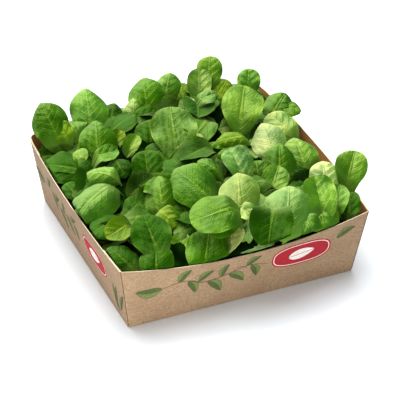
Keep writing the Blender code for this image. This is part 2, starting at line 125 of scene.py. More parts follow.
# Leaves that show, as (x, y, height, width, heading, tilt, lean, bend, cup, tone).
# x and y are where the blade's middle shows on a plane 62 mm up, seen from the photo's side. A leaf at
# another height is slid along that line of sight. The tip points along heading. The face leans by tilt
# towards the viewer, or that many degrees round from there by lean. Bend curls the tip down, cup lifts
# the edges.
LEAVES = [
    # back left corner and the back edge
    (-73, 87, 73, 31, 88, 66, 0, 10, -0.3, "mid"),
    (-70, 70, 66, 16, 90, 60, 0, 10, 0.25, "olive"),
    (-41, 94, 73, 33, 74, 55, 0, 30, -0.35, "light"),
    (-29, 79, 66, 19, 60, 50, 0, 20, -0.45, "dark"),
    (-13, 78, 69, 20, 74, 62, 13, 15, -0.5, "pale"),
    (2, 93, 75, 30, 72, 55, -7, 25, -0.3, "mid"),
    (21, 97, 77, 21, 60, 62, 0, 20, -0.35, "grey"),
    (43, 92, 75, 20, 68, 72, 0, 5, 0.35, "pale"),
    (56, 104, 81, 21, 66, 68, 0, 15, 0.1, "light"),
    (55, 78, 70, 18, 44, 50, 0, 15, -0.3, "olive"),
    (77, 81, 69, 19, 66, 75, 0, 20, -0.1, "light"),
    (23, 67, 70, 13, 44, 50, 0, 10, 0.2, "white"),
    (40, 70, 76, 15, 10, 25, 0, 20, 0.1, "grey"),
    # left half
    (-50, 54, 71, 32, 70, 50, -7, 25, -0.35, "mid"),
    (-70, 36, 60, 13, 66, 60, -47, 15, 0.1, "light"),
    (-9, 65, 66, 19, 2, 35, 0, 20, 0.1, "dark"),
    (-38, 47, 65, 13, 56, 60, 0, 15, 0.35, "olive"),
    (-31, 36, 67, 14, 46, 55, 0, 15, 0.4, "light"),
    (-52, 30, 66, 17, 358, 22, 0, 25, 0.15, "mid"),
    (-50, 12, 62, 19, 272, 35, 0, 20, -0.2, "dark"),
    (-87, 28, 54, 31, 146, 30, 0, 20, -0.2, "dark"),
    (-65, 10, 64, 22, 142, 35, -17, 25, -0.3, "light"),
    (-82, -18, 64, 37, 200, 40, -30, 30, -0.5, "grey"),
    (3, 43, 76, 36, 74, 45, 0, 20, -0.15, "grey"),
    (-15, 42, 66, 26, 72, 50, 0, 20, -0.1, "dark"),
    (-32, 7, 63, 24, 74, 48, 0, 20, 0.2, "dark"),
    (-35, -25, 70, 31, 72, 42, -12, 20, -0.5, "mid"),
    (-12, -25, 73, 37, 110, 38, 0, 20, -0.25, "mid"),
    (-29, -45, 62, 25, 100, 45, 0, 20, 0.1, "dark"),
    (-13, -65, 72, 35, 182, 32, 0, 15, -0.15, "mid"),
    (-12, -76, 64, 25, 198, 50, 0, 20, 0.1, "mid"),
    (-43, -57, 61, 19, 292, 45, 0, 20, -0.25, "olive"),
    (-60, -69, 63, 30, 84, 50, 0, 15, -0.1, "dark"),
    (-69, -100, 52, 26, 68, 48, 0, 15, -0.1, "dark"),
    (-79, -59, 59, 20, 196, 40, 0, 20, 0.3, "olive"),
    (-85, -50, 55, 24, 190, 22, 0, 20, -0.2, "dark"),
    (-89, -87, 53, 26, 112, 38, 13, 25, -0.35, "dark"),
    (-91, -1, 51, 16, 100, 30, 0, 20, 0.1, "dark"),
    (-59, -36, 54, 17, 44, 30, 0, 20, 0.1, "dark"),
    # along the front
    (-34, -102, 51, 32, 62, 52, 0, 15, -0.1, "mid"),
    (-47, -88, 51, 15, 60, 60, 0, 20, 0.3, "light"),
    (-13, -94, 53, 19, 42, 45, 0, 20, 0.3, "pale"),
    (-1, -108, 47, 24, 350, 25, 0, 15, 0.1, "white"),
    (0, -90, 56, 13, 60, 65, 0, 10, 0.3, "white"),
    (13, -46, 74, 32, 70, 45, 0, 25, -0.25, "pale"),
    (7, -73, 66, 15, 300, 40, 0, 15, 0.4, "pale"),
    (36, -75, 65, 37, 64, 42, 0, 20, -0.25, "frost"),
    (15, -94, 60, 34, 240, 50, 0, 20, 0.15, "dark"),
    (40, -101, 56, 19, 270, 45, 0, 20, -0.2, "grey"),
    (52, -96, 54, 26, 258, 45, 0, 20, -0.1, "light"),
    # right half
    (55, -21, 64, 28, 68, 50, 0, 20, -0.3, "mid"),
    (72, -17, 63, 28, 84, 40, 0, 25, -0.35, "light"),
    (74, -52, 62, 24, 70, 55, -7, 15, -0.25, "white"),
    (94, -50, 70, 25, 56, 60, 0, 15, 0.05, "light"),
    (75, -91, 53, 19, 44, 68, -47, 15, 0.1, "dark"),
    (61, -70, 64, 26, 78, 46, 0, 20, 0.3, "light"),
    (71, -79, 59, 18, 58, 55, 0, 15, 0.3, "light"),
    (42, -42, 61, 21, 54, 45, 0, 20, 0.1, "light"),
    (26, -13, 69, 24, 88, 40, 0, 20, 0.2, "frost"),
    (6, -10, 73, 20, 120, 35, 0, 15, -0.4, "mid"),
    (17, 4, 59, 18, 350, 40, 0, 20, 0.2, "mid"),
    (33, 15, 65, 25, 170, 40, 0, 15, -0.45, "olive"),
    (59, 52, 77, 33, 62, 50, 0, 15, -0.1, "light"),
    (84, 44, 67, 24, 42, 40, 0, 25, -0.25, "mid"),
    (88, 36, 65, 19, 326, 20, 0, 30, -0.3, "mid"),
    (58, 7, 66, 29, 80, 45, -17, 15, -0.3, "white"),
    (74, 20, 63, 25, 108, 35, 0, 15, -0.2, "pale"),
    (10, 22, 63, 14, 44, 40, 0, 15, 0.2, "pale"),
    (39, 41, 54, 24, 52, 45, 0, 20, 0.1, "light"),
    (35, -29, 60, 17, 74, 50, 0, 20, 0.1, "mid"),
]

# A leaf further down that shows between the ones at the back edge
LEAF_BEHIND = (27, 85, 66, 20, 80, 50, 0, 20, -0.2, "olive")

# Upper side and underside of each tone of leaf, in sRGB
TONES = {
    "deep": ((8, 38, 0), (20, 52, 0)),
    "dark": ((13, 58, 0), (40, 88, 3)),
    "mid": ((34, 91, 0), (69, 115, 13)),
    "light": ((73, 139, 40), (111, 154, 60)),
    "grey": ((44, 101, 15), (83, 125, 45)),
    # The next tone is a whitish green that stands in for a painted sheen over the whole leaf
    "frost": ((118, 182, 112), (126, 174, 107)),
    "olive": ((79, 116, 6), (106, 139, 31)),
    "pale": ((130, 160, 80), (158, 181, 105)),
    "white": ((164, 190, 130), (180, 200, 144)),
}

# How strong the painted pale sheen is on each tone of leaf
PAINTED_SHEEN = {
    "deep": 0.05,
    "dark": 0.2,
    "mid": 0.7,
    "light": 0.85,
    "grey": 1.0,
    "frost": 1.0,
    "olive": 0.4,
    "pale": 0.8,
    "white": 0.8,
}

# Card: main tone, darker flecks and paler fibres, in sRGB
CARDS = {
    "kraft_card": ((158, 131, 101), (129, 102, 74), (184, 162, 132)),
    "cut_edge": ((232, 216, 186), (206, 184, 150), (244, 234, 212)),
    "card_inside": ((186, 134, 74), (160, 108, 54), (206, 160, 100)),
    "dark_corner": ((96, 66, 42), (70, 46, 28), (130, 96, 64)),
}
KRAFT_THROUGH_INK = (196, 164, 128)

# The same for the slit behind a corner's fold, painted near black as the shade in it, in linear light
CORNER_SLIT_SHADE = ((0.03, 0.02, 0.01), (0.02, 0.012, 0.006), (0.05, 0.03, 0.02))

# Inks: the piece's name, how far it stands off the card in mm, sRGB tone and cover
INKS = {
    "deep": ("print_deep_green", 0.05, "ink_deep_green", (76, 92, 44), 0.8),
    "light": ("print_light_green", 0.05, "ink_light_green", (110, 124, 64), 0.75),
    "line": ("print_line", 0.08, "ink_line", (52, 66, 34), 0.85),
    "brown": ("print_vine", 0.06, "ink_brown", (104, 76, 48), 0.8),
    "red": ("print_label", 0.05, "ink_red", (168, 28, 42), 0.95),
    "white": ("print_label_white", 0.08, "ink_white", (240, 232, 222), 0.9),
}

# Camera, in degrees, metres and shares of the sensor's width
CAMERA_AZIMUTH = -23.107
CAMERA_ELEVATION = 34.117
CAMERA_DISTANCE = 1.54325
CAMERA_RIGHT = 0.003925
CAMERA_UP = 0.023853
SENSOR_MM = 36
LENS_SHARE = 5.5

# Lamps: place and target in metres, width in metres and power in watts
LAMPS = {
    "key": ((0.2, 0.95, 1.1), (0, 0, 0.03), 1.6, 17),
    "top": ((-0.12, 0.28, 1.4), (0, 0, 0.03), 1.15, 22),
    "fill": ((-0.24, -0.36, 0.03), (-0.06, -0.09, 0.03), 0.06, 0.85),
}
WORLD_STRENGTH = 0.455
FLOOR_SIZE = 6.0
FLOOR_TONE = (0.88, 0.925, 0.965, 1)


def linear(rgb):
    """sRGB of 0 to 255 as linear light."""
    c = np.array(rgb, float) / 255
    return np.where(c <= 0.04045, c / 12.92, ((c + 0.055) / 1.055) ** 2.4)


# Shape of the tray and of the leaves


def spread(n):
    """Even steps from -1 to 1."""
    return [2 * k / n - 1 for k in range(n + 1)]


def bow(share):
    """How far a wall has bowed at a share of its half length from the middle: 1 there and 0 at its ends."""
    return 1 - np.minimum(np.abs(share), 1) ** 2


def ring(inner, top):
    """Plan outline of the tray's wall with its heights, anticlockwise from the front left."""
    half = TOP / 2 - (0 if top else INSET)
    bow_ends = BOW_ENDS if top else 0
    bow_sides = BOW_SIDES if top else 0
    skin = CARD if inner else 0
    points = []
    for side in (-1, 1):
        fold = FOLD_FRONT if side < 0 else FOLD_BACK * (1 if top else 0.5)
        reach = half - CARD - fold
        for k in spread(WALL_CELLS):
            rise = 1 - k * k
            height = HEIGHT - DIP * rise if top else 0
            points.append((-side * k * reach, side * (half - skin + bow_ends * rise), height))
        for part, turn in (("leave", side), ("enter", -side)):
            r = FOLD_FRONT if turn < 0 else FOLD_BACK * (1 if top else 0.5)
            cx = -side * (half - CARD - r)
            cy = turn * (half - r)
            arc = []
            for a in np.arange(1, FOLD_POINTS) / (FOLD_POINTS - 1):
                angle = a * math.pi / 2
                sideways = side * (r - skin) * math.sin(angle)
                arc.append((cx - sideways, cy + turn * (r - skin) * math.cos(angle)))
            end = -side * (half - 2 * CARD) if inner else -side * half
            arc.append((end, cy - turn * 0.4 if inner else cy))
            if part == "enter":
                arc.reverse()
            points += [(x, y, HEIGHT if top else 0) for x, y in arc]
            if part == "leave":
                length = half - FLAP
                inside = [k * (length - 1) for k in spread(WALL_CELLS)]
                outside = [half - FLAP - 0.3, half - FLAP]
                stops = [-v for v in outside[::-1]] + inside + outside
                stops = [-(length + 18), -(length + 9)] + stops + [length + 9, length + 18]
                for y in stops:
                    thick = 2 if abs(y) > length - 0.15 else 1
                    x = half + bow_sides * (1 - (y / half) ** 2) - (thick * CARD if inner else 0)
                    points.append((-side * x, -side * y, HEIGHT if top else 0))
    return np.array(points)


def rim_height(x):
    """Height of the end walls' rim."""
    return HEIGHT - DIP * bow(x / (TOP / 2))


def wall_reach(x, y, z):
    """How far out the inside of the side walls and of the end walls is at this height."""
    foot = TOP / 2 - INSET
    side = foot + (INSET + BOW_SIDES * bow(y / (TOP / 2))) * np.clip(z, 0, HEIGHT) / HEIGHT - 2 * CARD
    end = foot + (INSET + BOW_ENDS * bow(x / (TOP / 2))) * np.clip(z / rim_height(x), 0, 1) - CARD
    return side, end


def keep_in_tray(p, gap, stalk):
    """Moves points that would be in or under the tray's wall, in or up, whichever is shorter.

    By the left and front walls they are always moved in, and above the rim they may lean out a little.
    """
    x, y, z = p[..., 0].copy(), p[..., 1].copy(), p[..., 2].copy()
    side, end = wall_reach(x, y, z)
    side -= gap
    end -= gap
    rim = rim_height(x)
    x = np.maximum(x, -side - LEAN_LEFT * np.maximum(z - HEIGHT - gap, 0))
    y = np.maximum(y, -end - LEAN_FRONT * np.maximum(z - rim - gap, 0))
    over_side, over_end = np.abs(x) - side, np.abs(y) - end
    low_side, low_end = HEIGHT + gap - z, rim + gap - z
    hit = (over_side > 0) & (low_side > 0) & (x > 0)
    up = hit & (low_side < over_side) & ~stalk
    z = np.where(up, z + low_side, z)
    x = np.where(hit & ~up, np.copysign(side, x), x)
    hit = (over_end > 0) & (low_end > 0) & (y > 0)
    up = hit & (low_end < over_end) & ~stalk
    z = np.where(up, np.maximum(z, rim + gap), z)
    y = np.where(hit & ~up, np.copysign(end, y), y)
    corner = FOLD_BACK + 1
    dx = np.abs(x) - (side - corner)
    dy = y - (end - corner)
    far = np.hypot(np.maximum(dx, 1e-6), np.maximum(dy, 1e-6))
    hit = (z < HEIGHT + gap) & (dx > 0) & (dy > 0) & (far > corner)
    k = corner / far
    x = np.where(hit, np.copysign(side - corner + dx * k, x), x)
    y = np.where(hit, end - corner + dy * k, y)
    return np.stack([x, y, np.maximum(z, CARD + FLOOR_GAP + 0.5)], -1)


def core_height(x, y):
    """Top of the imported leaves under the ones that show: a dome with waves, lower in three places."""
    u, v = x / CORE_REACH, y / CORE_REACH
    h = 44 + 16 * (1 - u * u) * (1 - v**4) + 8 * np.exp(-(((y - 62) / 30) ** 2)) * (1 - u * u)
    h = h + 2.0 * np.sin(x / 11 + 1.3) * np.cos(y / 13) + 1.2 * np.sin((x + 2 * y) / 17)
    h = h - 20 * np.exp(-((x + 86) ** 2 + (y - 76) ** 2) / 22**2)
    h = h - 12 * np.exp(-((x - 90) ** 2 / 12**2 + (y + 8) ** 2 / 50**2))
    return h - 10 * np.exp(-((x - 86) ** 2 + (y + 86) ** 2) / 16**2)


def unit(v):
    return v / np.linalg.norm(v)


def plan_direction(degrees):
    a = math.radians(degrees)
    return np.array([math.cos(a), math.sin(a), 0.0])


def blade_width(s, cup):
    """Half width along the leaf, stalk's foot at 0 and tip at 1, as a share of the widest.

    A blade that is cupped is rounder at its foot, a flat one is more like a spoon.
    """
    t = np.clip((s - BLADE_FOOT) / (BLADE_WIDEST - BLADE_FOOT), 0, 1)
    spoon = STALK_WIDTH + (1 - STALK_WIDTH) * t * t * (3 - 2 * t)
    t = np.clip((BLADE_WIDEST - s) / (BLADE_WIDEST - OVAL_FOOT), 0, 1)
    oval = STALK_WIDTH + (1 - STALK_WIDTH) * np.sqrt(1 - t * t)
    low = spoon + (oval - spoon) * min(0.35 + 2.2 * abs(cup), 1)
    t = np.clip((s - BLADE_WIDEST) / (1 - BLADE_WIDEST), 0, 1)
    return np.where(s < BLADE_WIDEST, low, np.sqrt(np.maximum(1 - t**2.3, 0)))


def leaf_frame(leaf):
    """Middle of a leaf's blade, the way to its tip and the way that its face looks."""
    x, y, z, _, heading, tilt, lean = leaf[:7]
    rise = z - SIGHT_PLANE
    middle = np.array([x - SIGHT[0] * rise, y - SIGHT[1] * rise, z])
    a = math.radians(tilt * TILT_SHARE)
    face = plan_direction(TOWARDS_VIEWER + lean) * math.sin(a) + np.array([0, 0, math.cos(a)])
    along = plan_direction(heading)
    along = unit(along - face * np.dot(along, face))
    return middle, along, face


def leaf_surface(leaf, stations, sides):
    """Middle surface of a leaf, a row across at each station, with its stalk turned down into the heap.

    Its place sets its chance turns, so no two leaves bend and twist alike.
    """
    middle, along, face = leaf_frame(leaf)
    x, y, _, full_width = leaf[:4]
    curl_down, cup_stated = leaf[7:9]
    width = full_width * BLADE_SHARE
    length = width * LENGTH_TO_WIDTH
    bend = math.radians(curl_down * 1.3 + 18 + 16 * math.sin(x * 1.1 + y * 0.6))
    twist = math.radians(28 * math.sin(x * 0.5 - y * 0.9))
    cup = cup_stated * 1.15 + 0.16 * math.sin(x * 0.7 + y * 1.3)
    steep = math.asin(max(-1.0, min(1.0, along[2])))
    drop = max(0.0, math.radians(58) - max(steep, 0))
    across = np.cross(face, along)

    def turn(s):
        past = np.maximum(s - BLADE_AT, 0) / (1 - BLADE_AT)
        return bend * (s - BLADE_AT) - 0.7 * cup * past - drop * np.clip((STALK_TOP - s) / 0.4, 0, 1)

    def place(s):
        steps = 12
        angle = turn(BLADE_AT + (s - BLADE_AT) * (np.arange(steps) + 0.5) / steps)
        step = (s - BLADE_AT) / steps * length
        return middle + along * np.cos(angle).sum() * step - face * np.sin(angle).sum() * step

    foot = keep_in_tray(place(STALK_FOOT)[None], LEAF_GAP, np.array([True]))[0]
    sink = max(0.0, foot[2] - core_height(foot[0], foot[1]) + ROOT_DEPTH)
    v = np.asarray(sides)[:, None]
    right_half = v > 0
    lobes = 0.045 + 0.03 * math.sin(x * 1.9 + y)
    rows = []
    for s in stations:
        at = place(s)
        at[2] -= sink * min(max((STALK_TOP - s) / (STALK_TOP - STALK_FOOT), 0), 1.2) ** 1.4
        angle = turn(s)
        up = face * math.cos(angle) + along * math.sin(angle)
        share = float(blade_width(np.array(s), cup_stated))
        half = width / 2 * share
        roll = twist * (s - BLADE_AT)
        sideways = across * math.cos(roll) + up * math.sin(roll)
        up = up * math.cos(roll) - across * math.sin(roll)
        off = np.abs(v) * half
        lift = cup * half * np.abs(v) ** 1.7
        wave = 0.05 * np.sin(s * 9 + x + np.where(right_half, 1.7, 0)) * v * v
        frill = 0.02 * np.sin(s * 23 + y + np.where(right_half, 2.1, 0)) * np.abs(v) ** 3
        arch = lobes * half * np.sin(math.pi * np.abs(v) ** 0.8)
        crease = -0.6 * np.exp(-((off / 1.2) ** 2)) * (1 - s) * share
        course = s * length - VEIN_SLANT * off**VEIN_CURVE
        puff = min(0.4, width / 65) * np.cos(course / VEIN_STEP * 2 * math.pi)
        puff = puff * np.sin(math.pi * np.minimum(np.abs(v) * 1.25, 1))
        relief = lift + (wave + frill) * full_width * share + arch + crease + puff * share
        row = at + sideways * (v * half * (1 - 0.3 * cup * cup)) + up * relief
        rows.append(keep_in_tray(row, LEAF_GAP, np.full(len(sides), s < 0.6)))
    return np.array(rows), length, width


def far_side_leaves():
    """Leaves on the sides that the photo doesn't show, leaning outwards over the rims."""
    rng = random.Random(7)
    found = []
    for x in range(-60, 80, 20):
        found.append((x + rng.uniform(-5, 5), 80 + rng.uniform(-3, 2), 58 + rng.uniform(0, 6), 90))
    for y in range(-30, 80, 22):
        found.append((72 + rng.uniform(-2, 2), y + rng.uniform(-6, 6), 49 + rng.uniform(0, 4), 0))
    leaves = []
    for x, y, z, out in found:
        rise = z - SIGHT_PLANE
        size = rng.uniform(22, 31)
        heading = (out if out else 90) + rng.uniform(-40, 40)
        lean = out - TOWARDS_VIEWER + rng.uniform(-30, 30)
        leaves.append((x + SIGHT[0] * rise, y + SIGHT[1] * rise, z, size, heading, rng.uniform(20, 50),
                       lean, 30, rng.uniform(-0.2, 0.2), "mid"))
    return leaves


def hides_one(x, y, z):
    """Whether a leaf put here would stand before the middle of one that shows."""
    return any(math.hypot(x - leaf[0], y - leaf[1]) < 0.68 * leaf[3] and z > leaf[2] - 6
               for leaf in LEAVES)


def over_gap(x, y):
    """Whether this place is over one where the leaves part."""
    return any(math.hypot(x - gap_x, y - gap_y) < reach for gap_x, gap_y, reach in DEEP_GAPS)


def under_leaves():
    """Smaller leaves lying close on the core, which fill the gaps between the ones that show.

    They lie in two layers, each on a loose grid.
    """
    rng = random.Random(21)
    leaves = []
    layers = ((15.0, 0.5, 3.5, 22, 30, 40), (16.0, 2.5, 6.0, 20, 28, 60))
    for step, low, high, small, large, steep in layers:
        count = int(CORE_REACH / step) + 1
        for i in range(-count, count + 1):
            for j in range(-count, count + 1):
                x = i * step + rng.uniform(-0.3, 0.3) * step + (j % 2) * step / 2
                y = j * step + rng.uniform(-0.3, 0.3) * step
                if max(abs(x), abs(y)) > UNDER_REACH:
                    continue
                z = core_height(x, y) + rng.uniform(low, high)
                rise = z - SIGHT_PLANE
                tone = rng.choice(("deep", "dark", "dark", "dark", "mid"))
                turned = 180 if y > 35 and (i + j) % 2 else 0
                leaf = (x + SIGHT[0] * rise, y + SIGHT[1] * rise, z, rng.uniform(small, large),
                        rng.uniform(0, 360), rng.uniform(5, steep), rng.uniform(-90, 90) + turned,
                        rng.uniform(15, 45), rng.uniform(-0.3, 0.4), tone)
                if not over_gap(x, y) and not hides_one(*leaf[:3]):
                    leaves.append(leaf)
    return leaves + [LEAF_BEHIND]


# Meshes


def new_object(name, mesh, mats, smooth=True):
    obj = bpy.data.objects.new(name, mesh)
    bpy.context.scene.collection.objects.link(obj)
    for mat in mats:
        mesh.materials.append(mat)
    if smooth:
        mesh.shade_smooth()
    return obj


def leaves_object(name, leaves, long_cells, wide_cells, seed, mat):
    """Joins leaves into one mesh, each an upper and a lower skin that meet at the edge."""
    rng = random.Random(seed)
    even = np.linspace(0, 1, long_cells + 1)
    stations = 0.1 + 0.9 * (0.55 * even + 0.45 * np.sin(even * math.pi / 2))
    even = np.linspace(-1, 1, wide_cells + 1)
    sides = np.sin(even * math.pi / 2) * 0.35 + even * 0.65
    m, n = len(stations), len(sides)
    cells = math.ceil(math.sqrt(len(leaves) * 2))
    verts, faces, veins, atlas, tones, facts, rim_tone_and_highlight = [], [], [], [], [], [], []
    index = np.arange(m * n).reshape(m, n)
    quads = np.stack([index[:-1, :-1], index[1:, :-1], index[1:, 1:], index[:-1, 1:]], -1).reshape(-1, 4)
    start = 0
    for number, leaf in enumerate(leaves):
        rows, length, width = leaf_surface(leaf, stations, sides)
        normal = np.cross(np.gradient(rows, axis=0), np.gradient(rows, axis=1))
        normal = -normal / np.maximum(np.linalg.norm(normal, axis=2, keepdims=True), 1e-9)
        edge = np.minimum(1, (1 - np.abs(sides))[None, :, None] * 5)
        tip = np.minimum(1, (1 - stations) * 12)[:, None, None]
        skin = LEAF_THICK / 2 * edge * tip
        along_mm = np.repeat((stations * length)[:, None], n, 1)
        across_mm = sides[None, :] * blade_width(stations, leaf[8])[:, None] * width / 2
        shift = rng.uniform(-0.16, 0.16)
        warm = rng.uniform(-0.12, 0.12)
        for under in (0, 1):
            verts.append((rows + normal * skin * (1 - 2 * under)).reshape(-1, 3))
            faces.append((quads if under else quads[:, ::-1]) + start)
            start += m * n
            veins.append(np.stack([along_mm + number * 3.7, across_mm], -1).reshape(-1, 2) / UV_MM)
            cell = number * 2 + under
            corner = np.array([cell % cells, cell // cells])
            up, over = np.repeat(stations[:, None], n, 1), np.repeat((sides[None, :] + 1) / 2, m, 0)
            atlas.append((corner + 0.04 + 0.92 * np.stack([up, over], -1).reshape(-1, 2)) / cells)
            base = linear(TONES[leaf[9]][under]) * (1 + shift) * np.array([1 + warm, 1, 1 - warm])
            tones.append(np.repeat(base[None], m * n, 0))
            pale = (1 - stations)[:, None] * np.ones(n)
            # The third fact is how strong the painted sheen is on this leaf
            side_of_leaf, painted_sheen_amount = np.full(m * n, float(under)), np.full(m * n, PAINTED_SHEEN[leaf[9]])
            facts.append(np.stack([side_of_leaf, pale.reshape(-1), painted_sheen_amount], -1))
            # Mask for the pale rim: partly the margin's own tone, partly a painted highlight where light
            # catches the edge
            border = np.maximum(np.abs(sides)[None, :] ** 14, np.clip(stations[:, None] * 12 - 11, 0, 1))
            rim_tone_and_highlight.append(np.stack([border.reshape(-1)] * 3, -1))
    mesh = bpy.data.meshes.new(name)
    points = np.concatenate(verts) * MM
    mesh.from_pydata(points.tolist(), [], np.concatenate(faces).tolist())
    corners = np.empty(len(mesh.loops), np.int32)
    mesh.loops.foreach_get("vertex_index", corners)
    for map_name, data in (("vein", veins), ("OFBake", atlas)):
        layer = mesh.uv_layers.new(name=map_name)
        layer.data.foreach_set("uv", np.concatenate(data)[corners].astype(np.float32).reshape(-1))
    for attr, data in (("tone", tones), ("facts", facts), ("rim", rim_tone_and_highlight)):
        layer = mesh.attributes.new(attr, "FLOAT_VECTOR", "POINT")
        layer.data.foreach_set("vector", np.concatenate(data).astype(np.float32).reshape(-1))
    return new_object(name, mesh, [mat])


def core_object(mat):
    """Packed leaves that show only in the gaps, painted near black as the shade deep in the heap."""
    n = CORE_CELLS
    u = np.linspace(-1, 1, n + 1)
    gu, gv = np.meshgrid(u, u, indexing="ij")
    cut_u, cut_v = 1 - CORE_ROUND * gv**4, 1 - CORE_ROUND * gu**4
    rng = np.random.default_rng(5)
    x0, y0 = gu * cut_u * CORE_REACH, gv * cut_v * CORE_REACH
    border = (np.abs(gu) == 1) | (np.abs(gv) == 1)
    z = core_height(x0, y0) + np.where(border, 0, rng.uniform(-0.9, 0.5, gu.shape))
    side, end = wall_reach(gu * CORE_REACH, gv * CORE_REACH, z)
    top = np.stack([gu * cut_u * (side - CORE_GAP), gv * cut_v * (end - CORE_GAP), z], -1)
    verts = [tuple(p * MM) for p in top.reshape(-1, 3)]
    index = np.arange((n + 1) ** 2).reshape(n + 1, n + 1)
    faces = [(int(index[i, j]), int(index[i + 1, j]), int(index[i + 1, j + 1]), int(index[i, j + 1]))
             for i in range(n) for j in range(n)]
    edge = [(i, 0) for i in range(n)] + [(n, j) for j in range(n)]
    edge += [(n - i, n) for i in range(n)] + [(0, n - j) for j in range(n)]
    above = [int(index[e]) for e in edge]
    for level in (CORE_BEND, CARD + FLOOR_GAP):
        below = []
        for i, j in edge:
            s, e = wall_reach(u[i] * CORE_REACH, u[j] * CORE_REACH, level)
            below.append(len(verts))
            verts.append((u[i] * (1 - CORE_ROUND * u[j]**4) * (s - CORE_GAP) * MM,
                          u[j] * (1 - CORE_ROUND * u[i]**4) * (e - CORE_GAP) * MM, level * MM))
        for k in range(len(edge)):
            j = (k + 1) % len(edge)
            faces.append((below[k], below[j], above[j], above[k]))
        above = below
    faces.append(tuple(above[::-1]))
    mesh = bpy.data.meshes.new("salad_core")
    mesh.from_pydata(verts, [], faces)
    return new_object("salad_core", mesh, [mat])


def tray_object(mats):
    """The folded card tray with finer curves than the solid.

    The materials are those of the outside, the paler cut edge, the warmer inside, the slit behind each fold
    at a corner, painted dark as the shade in it, and the front right corner's fold, which is darker brown.
    """
    foot, rim = ring(False, False), ring(False, True)
    inner_rim, inner_foot = ring(True, True), ring(True, False)
    inner_foot[:, 2] = CARD
    shrink = 1 - FOOT_FOLD / (TOP / 2 - INSET)
    bottom = foot * np.array([shrink, shrink, 0])
    low_bend = foot + (rim - foot) * 0.25 * FOOT_FOLD / HEIGHT
    low_bend[:, :2] = bottom[:, :2] * 0.25 + low_bend[:, :2] * 0.75
    levels = [bottom, low_bend] + [foot + (rim - foot) * t for t in (FOOT_FOLD / HEIGHT, 0.3, 0.6, 1)]
    levels += [inner_rim, (inner_rim + inner_foot) / 2, inner_foot]
    n = len(rim)
    verts = [tuple(p * MM) for level in levels for p in level]
    faces = []
    outer, edge, lining, slit_shade, brown = range(5)
    shaded_slit_faces = set()
    for start in (WALL_CELLS + 1, n // 2 + WALL_CELLS + 1):
        other = start + FOLD_POINTS + SIDE_POINTS
        for k in (4, 5, 6):
            shaded_slit_faces |= {start + k, other + 7 - k}
    slots = []
    rim_level = 5
    near = TOP / 2 - DARK_CORNER_REACH
    for level in range(len(levels) - 1):
        for k in range(n):
            j = (k + 1) % n
            faces.append((level * n + k, level * n + j, (level + 1) * n + j, (level + 1) * n + k))
            front_right = min(rim[k][0], rim[j][0]) > near and max(rim[k][1], rim[j][1]) < -near
            if level > rim_level:
                slots.append(lining)
            elif level == rim_level:
                slots.append(edge)
            elif front_right:
                slots.append(brown)
            else:
                # The slit faces carry painted shade: near black where the fold leaves a gap
                slots.append(slit_shade if k in shaded_slit_faces and level > 1 else outer)
    faces.append(tuple(range(n))[::-1])
    faces.append(tuple((len(levels) - 1) * n + k for k in range(n)))
    slots += [outer, lining]
    mesh = bpy.data.meshes.new("card_tray")
    mesh.from_pydata(verts, [], faces)
    mesh.polygons.foreach_set("material_index", slots)
    obj = new_object("card_tray", mesh, mats)
    mesh.set_sharp_from_angle(angle=math.radians(28))
    return obj


# Print on the walls, as thin shapes just proud of the card


def wall_line(wall):
    """Foot and rim of one outer wall as it goes left to right seen from outside: along, out and height."""
    foot, rim = ring(False, False), ring(False, True)
    start = 0 if wall in ("front", "right") else len(rim) // 2
    if wall in ("front", "back"):
        pick = slice(start, start + WALL_CELLS + 1)
    else:
        start += WALL_CELLS + 1 + FOLD_POINTS
        pick = slice(start, start + SIDE_POINTS)
    side = -1 if wall in ("front", "left") else 1
    swap = (0, 1) if wall in ("front", "back") else (1, 0)
    lines = []
    for line in (foot[pick], rim[pick]):
        along, out, height = line[:, swap[0]], line[:, swap[1]] * side, line[:, 2]
        if wall in ("back", "left"):
            along = -along
        order = np.argsort(along)
        lines.append((along[order], out[order], height[order]))
    return lines


WALLS = {wall: wall_line(wall) for wall in ("front", "right", "back", "left")}
WALL_AXES = {
    "front": ((1, 0), (0, -1)),
    "right": ((0, 1), (1, 0)),
    "back": ((-1, 0), (0, 1)),
    "left": ((0, -1), (-1, 0)),
}


def wall_point(wall, a, h, lift):
    """Point on an outer wall: a runs left to right as seen from outside, h is the height, in mm."""
    (foot_a, foot_out, _), (rim_a, rim_out, rim_h) = WALLS[wall]
    steps = np.arange(len(foot_a))
    t = h / HEIGHT
    for _ in range(6):
        at = np.interp(a, foot_a * (1 - t) + rim_a * t, steps)
        t = h / np.interp(at, steps, rim_h)
    out = np.interp(at, steps, foot_out) * (1 - t) + np.interp(at, steps, rim_out) * t + lift
    along, outward = WALL_AXES[wall]
    return (along[0] * a + outward[0] * out, along[1] * a + outward[1] * out, h - lift * INSET / HEIGHT)


class Ink:
    """Collects flat shapes of one ink, to be made one mesh."""

    def __init__(self, name, lift, mat):
        self.name, self.lift, self.mat = name, lift, mat
        self.verts, self.faces = [], []

    def strip(self, wall, left, right):
        """A band between two lines of equally many points."""
        start = len(self.verts)
        for p, q in zip(left, right):
            self.verts.append(wall_point(wall, *p, self.lift))
            self.verts.append(wall_point(wall, *q, self.lift))
        for k in range(len(left) - 1):
            a = start + 2 * k
            self.faces.append((a, a + 1, a + 3, a + 2))

    def make(self):
        """One mesh of all the shapes, every face looking away from the tray."""
        mesh = bpy.data.meshes.new(self.name)
        mesh.from_pydata([tuple(c * MM for c in v) for v in self.verts], [], self.faces)
        work = bmesh.new()
        work.from_mesh(mesh)
        bmesh.ops.recalc_face_normals(work, faces=work.faces)
        for face in work.faces:
            middle = face.calc_center_median()
            if face.normal.dot(Vector((middle.x, middle.y, 0))) < 0:
                face.normal_flip()
        work.to_mesh(mesh)
        work.free()
        return new_object(self.name, mesh, [self.mat], False)


